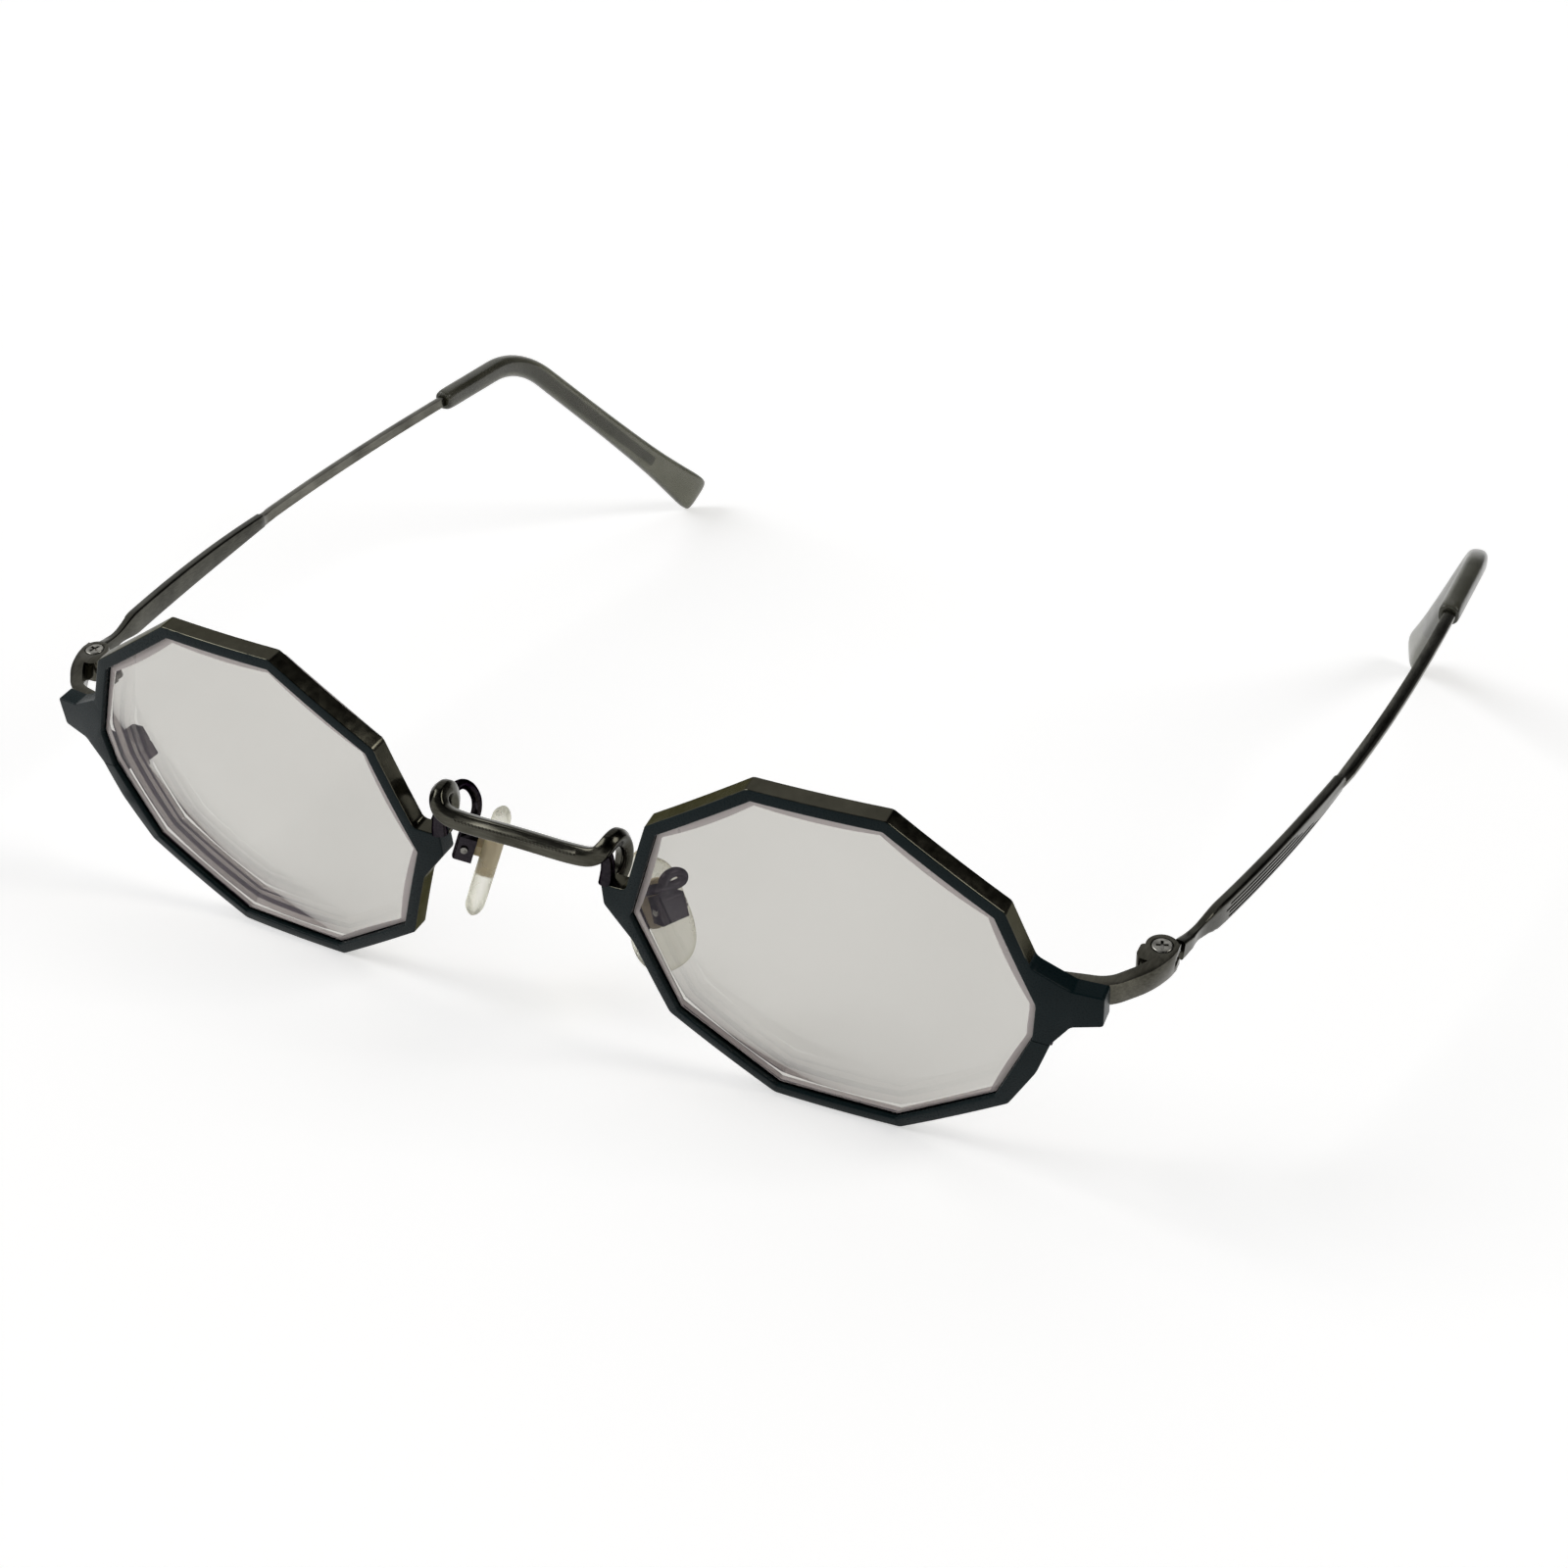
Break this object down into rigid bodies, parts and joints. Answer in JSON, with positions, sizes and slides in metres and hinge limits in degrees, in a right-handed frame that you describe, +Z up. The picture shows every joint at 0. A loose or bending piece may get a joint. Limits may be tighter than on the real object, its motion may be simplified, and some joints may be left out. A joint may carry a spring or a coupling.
{
  "type": "eyeglasses",
  "caption": "Prescription glasses with polygonal metal rims, a bridge with curled ends, rocking nose pads and slim folding temples with bent plastic tips.",
  "frame": {"origin": "middle of the footprint, on the surface that the rims and the temple tips stand on", "axes": "+Z up, the lenses face -Y with their tops leaning forward a little, the temples run towards +Y, +X is the wearer's left"},
  "size_m": [0.1464, 0.1606, 0.0404],
  "materials": {
    "rim_lacquer": "satin",
    "gunmetal": "brushed",
    "screw_steel": "polished",
    "lens": "polished",
    "pad_clear": "gloss",
    "pad_core": "matte",
    "tip_smoke": "gloss"
  },
  "bodies": {
    "front": {"left_rim": "rim_lacquer", "left_lens": "lens", "left_closing_block_upper": "gunmetal", "left_closing_block_lower": "gunmetal", "left_closing_screw": "screw_steel", "left_endpiece": "gunmetal", "left_hinge_screw": "screw_steel", "left_pad_box": "gunmetal", "left_pad_screw": "screw_steel", "left_pad_arm": "gunmetal", "right_rim": "rim_lacquer", "right_lens": "lens", "right_closing_block_upper": "gunmetal", "right_closing_block_lower": "gunmetal", "right_closing_screw": "screw_steel", "right_endpiece": "gunmetal", "right_hinge_screw": "screw_steel", "right_pad_box": "gunmetal", "right_pad_screw": "screw_steel", "right_pad_arm": "gunmetal", "bridge": "gunmetal"},
    "left_arm": {"left_temple": "gunmetal", "left_temple_tip": "tip_smoke"},
    "right_arm": {"right_temple": "gunmetal", "right_temple_tip": "tip_smoke"},
    "left_pad": {"left_nose_pad": "pad_clear", "left_pad_core": "pad_core"},
    "right_pad": {"right_nose_pad": "pad_clear", "right_pad_core": "pad_core"}
  },
  "joints": [
    {"name": "left_temple_fold", "type": "hinge", "parent": "front", "child": "left_arm", "pos_m": [0.0632, -0.06446, 0.02517], "axis": [0, -0.2121, 0.9772], "range_deg": [0, 93]},
    {"name": "right_temple_fold", "type": "hinge", "parent": "front", "child": "right_arm", "pos_m": [-0.0632, -0.06446, 0.02517], "axis": [0, 0.2121, -0.9772], "range_deg": [0, 90]},
    {"name": "left_pad_rock", "type": "hinge", "parent": "front", "child": "left_pad", "pos_m": [0.01216, -0.06695, 0.01703], "axis": [0.3905, 0.9154, 0.0981], "range_deg": [-10, 10]},
    {"name": "right_pad_rock", "type": "hinge", "parent": "front", "child": "right_pad", "pos_m": [-0.01216, -0.06695, 0.01703], "axis": [0.3905, -0.9154, -0.0981], "range_deg": [-10, 10]}
  ]
}
